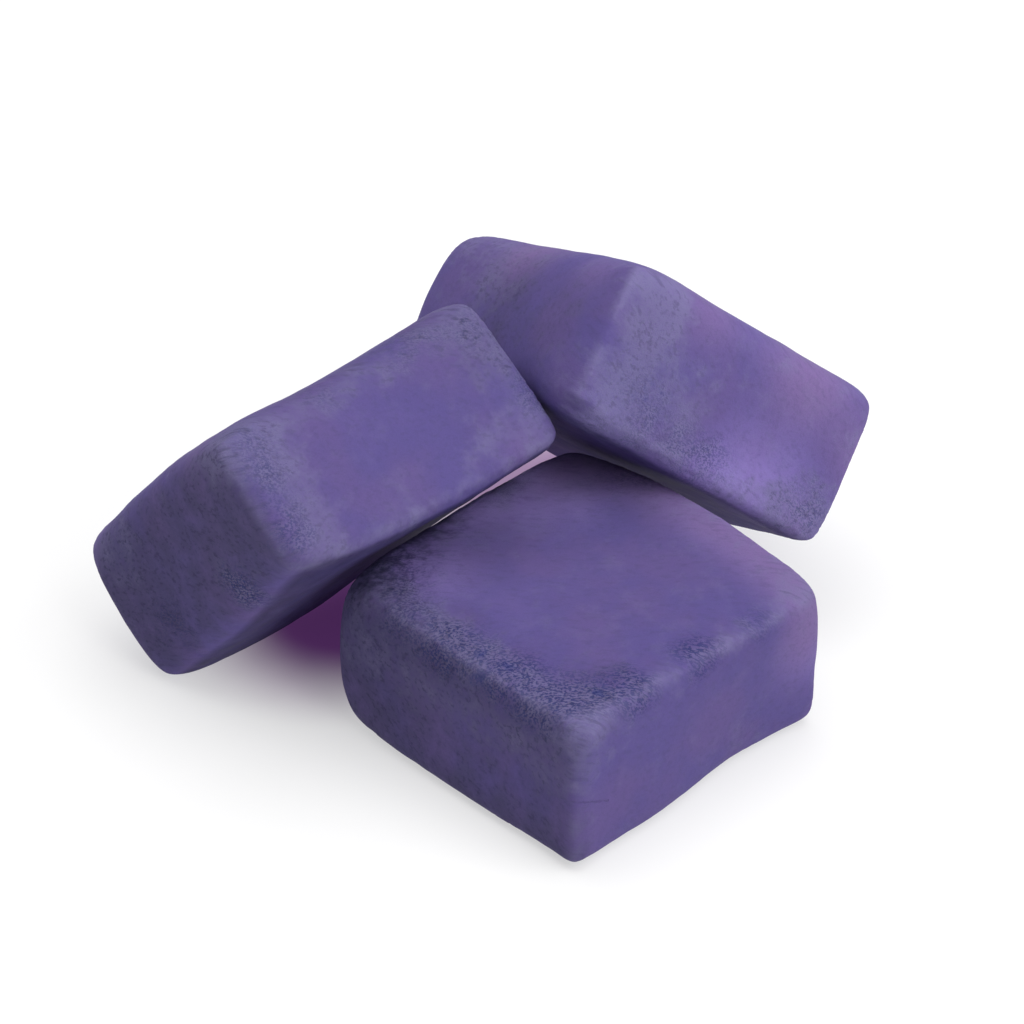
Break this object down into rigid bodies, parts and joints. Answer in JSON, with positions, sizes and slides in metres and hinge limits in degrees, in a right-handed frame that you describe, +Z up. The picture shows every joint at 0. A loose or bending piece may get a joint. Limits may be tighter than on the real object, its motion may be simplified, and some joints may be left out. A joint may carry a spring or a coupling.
{
  "type": "rosin cake",
  "caption": "Loose square cakes of cast rosin for string players, stacked: a flat cake with others leaning on its back edges.",
  "frame": {"origin": "centre of the front cake's base, on the surface that the cakes lie on", "axes": "+Z up; the front cake's sides are square to X and Y; +Y is the side that the left cake leans on, and +X with +Y the corner that the back cake leans on"},
  "size_m": [0.0729, 0.0626, 0.0404],
  "materials": {
    "front_cake": "dull violet rosin with a dusty bloom on its edges",
    "left_cake": "dull violet rosin with a dusty bloom on its edges",
    "back_cake": "dull violet rosin with a dusty bloom on its edges"
  },
  "bodies": {
    "front_cake": {"front_cake": "front_cake"},
    "left_cake": {"left_cake": "left_cake"},
    "back_cake": {"back_cake": "back_cake"}
  },
  "joints": [
    {"name": "left_cake_lift", "type": "slide", "parent": "front_cake", "child": "left_cake", "axis": [-0.0399, 0.7321, 0.6801], "range_m": [0, 0.06]},
    {"name": "back_cake_lift", "type": "slide", "parent": "front_cake", "child": "back_cake", "axis": [0.7064, 0.1367, 0.6945], "range_m": [0, 0.06]}
  ]
}
